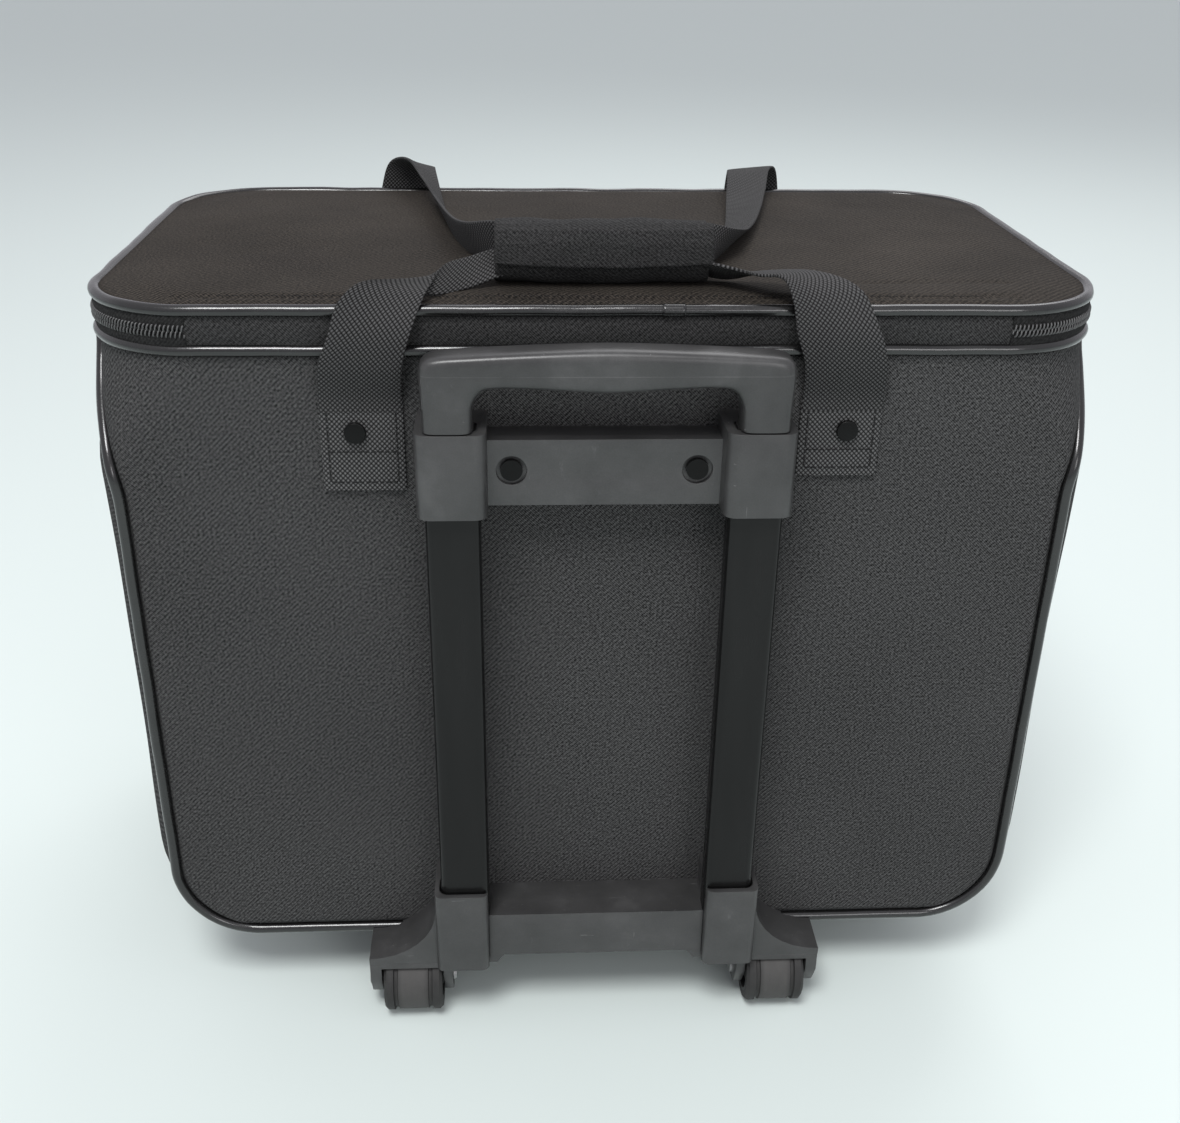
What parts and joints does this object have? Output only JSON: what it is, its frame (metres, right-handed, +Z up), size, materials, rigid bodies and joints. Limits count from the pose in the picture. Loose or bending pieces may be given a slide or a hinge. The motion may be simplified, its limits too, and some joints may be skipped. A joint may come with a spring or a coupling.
{
  "type": "rolling laptop case",
  "caption": "Soft-sided rolling laptop case with hinged zip lid, telescopic trolley handle, webbing carry handle, wheels and rear feet.",
  "frame": {"origin": "on the ground at the middle of the bounding box", "axes": "+Z up, +X to the right, -Y out of the trolley side"},
  "size_m": [0.4704, 0.3, 0.418],
  "materials": {
    "panel_fabric": "twill, matte",
    "lid_fabric": "twill, matte",
    "vinyl_piping": "glossy",
    "webbing": "basket weave",
    "wrap_fabric": "twill, matte",
    "hinge_fabric": "twill, matte",
    "zip_tape": "fine tape weave",
    "zip_coil": "satin",
    "board": "matte",
    "lining": "smooth",
    "divider_fabric": "brushed",
    "bracket_plastic": "satin, scuffed",
    "grip_plastic": "satin",
    "tube_paint": "semi-gloss",
    "guide_plastic": "satin",
    "black_fastener": "semi-gloss",
    "steel": "brushed",
    "roller_hub": "satin",
    "roller_tread": "worn, dusty",
    "foot_plastic": "satin",
    "slider_metal": "semi-gloss"
  },
  "bodies": {
    "case": {"front_panel": "panel_fabric", "back_panel": "panel_fabric", "gusset": "panel_fabric", "front_board": "board", "back_board": "board", "gusset_board": "board", "lining": "lining", "laptop_divider": "divider_fabric", "front_piping": "vinyl_piping", "back_piping": "vinyl_piping", "rim_piping": "vinyl_piping", "zip_tape_lower": "zip_tape", "zip_coil_lower": "zip_coil", "hinge_strip": "hinge_fabric", "front_patches": "webbing", "back_patches": "webbing", "patch_rivets": "black_fastener", "rivet_washers": "steel", "upper_bracket": "bracket_plastic", "upper_bracket_screws": "black_fastener", "lower_bracket": "bracket_plastic", "lower_bracket_screws": "steel", "foot_screws": "steel", "wheel_housing_left": "bracket_plastic", "wheel_housing_right": "bracket_plastic", "axles": "steel", "outer_tube_left": "tube_paint", "outer_tube_right": "tube_paint", "outer_guides": "guide_plastic", "rear_foot_left": "foot_plastic", "rear_foot_right": "foot_plastic"},
    "lid": {"lid_panel": "lid_fabric", "lid_board": "board", "lid_lining": "lining", "lid_piping": "vinyl_piping", "zip_tape_upper": "zip_tape", "zip_coil_upper": "zip_coil"},
    "trolley_middle": {"middle_tube_left": "tube_paint", "middle_tube_right": "tube_paint", "middle_guides": "guide_plastic", "middle_plugs": "guide_plastic"},
    "trolley_grip": {"inner_tube_left": "tube_paint", "inner_tube_right": "tube_paint", "inner_plugs": "guide_plastic", "grip_upper_shell": "grip_plastic", "grip_lower_shell": "grip_plastic", "grip_pins": "steel"},
    "wheel_left": {"wheel_hub_left": "roller_hub", "wheel_tyre_left": "roller_tread"},
    "wheel_right": {"wheel_hub_right": "roller_hub", "wheel_tyre_right": "roller_tread"},
    "front_handle": {"front_strap": "webbing", "wrap_sleeve": "wrap_fabric"},
    "back_handle": {"back_strap": "webbing"},
    "flap": {"wrap_flap": "wrap_fabric"},
    "zip_left": {"slider_left": "slider_metal"},
    "zip_right": {"slider_right": "slider_metal"},
    "tab_left": {"pull_tab_left": "slider_metal"},
    "tab_right": {"pull_tab_right": "slider_metal"}
  },
  "joints": [
    {"name": "lid_hinge", "type": "hinge", "parent": "case", "child": "lid", "pos_m": [0, -0.1186, 0.378], "axis": [1, 0, 0], "range_deg": [0, 90], "deforming": ["hinge_strip"]},
    {"name": "front_handle_swing", "type": "hinge", "parent": "case", "child": "front_handle", "pos_m": [0, -0.121, 0.346], "axis": [1, 0, 0], "range_deg": [0, 150], "deforming": ["front_strap"]},
    {"name": "back_handle_swing", "type": "hinge", "parent": "case", "child": "back_handle", "pos_m": [0, 0.146, 0.4], "axis": [1, 0, 0], "range_deg": [-250, 0], "deforming": ["back_strap"]},
    {"name": "wrap_flap_peel", "type": "hinge", "parent": "front_handle", "child": "flap", "pos_m": [0, -0.0944, 0.416], "axis": [1, 0, 0], "range_deg": [-150, 0]},
    {"name": "middle_tube_slide", "type": "slide", "parent": "case", "child": "trolley_middle", "axis": [0, 0, 1], "range_m": [0, 0.235]},
    {"name": "grip_slide", "type": "slide", "parent": "trolley_middle", "child": "trolley_grip", "axis": [0, 0, 1], "range_m": [0, 0.235]},
    {"name": "left_wheel_spin", "type": "hinge", "parent": "case", "child": "wheel_left", "pos_m": [-0.098, -0.129, 0.019], "axis": [1, 0, 0], "continuous": true},
    {"name": "right_wheel_spin", "type": "hinge", "parent": "case", "child": "wheel_right", "pos_m": [0.098, -0.129, 0.019], "axis": [1, 0, 0], "continuous": true},
    {"name": "left_slider_run", "type": "slide", "parent": "case", "child": "zip_left", "axis": [-1, 0, 0], "range_m": [0, 0.165]},
    {"name": "right_slider_run", "type": "slide", "parent": "case", "child": "zip_right", "axis": [1, 0, 0], "range_m": [0, 0.165]},
    {"name": "left_tab_swing", "type": "hinge", "parent": "zip_left", "child": "tab_left", "pos_m": [-0.007, 0.1456, 0.378], "axis": [1, 0, 0], "range_deg": [0, 160]},
    {"name": "right_tab_swing", "type": "hinge", "parent": "zip_right", "child": "tab_right", "pos_m": [0.007, 0.1456, 0.378], "axis": [1, 0, 0], "range_deg": [0, 160]}
  ],
  "couplings": [
    {"joint": "front_handle_swing", "follows": "lid_hinge", "ratio": 1.6666},
    {"joint": "back_handle_swing", "follows": "lid_hinge", "ratio": -2.7777}
  ]
}
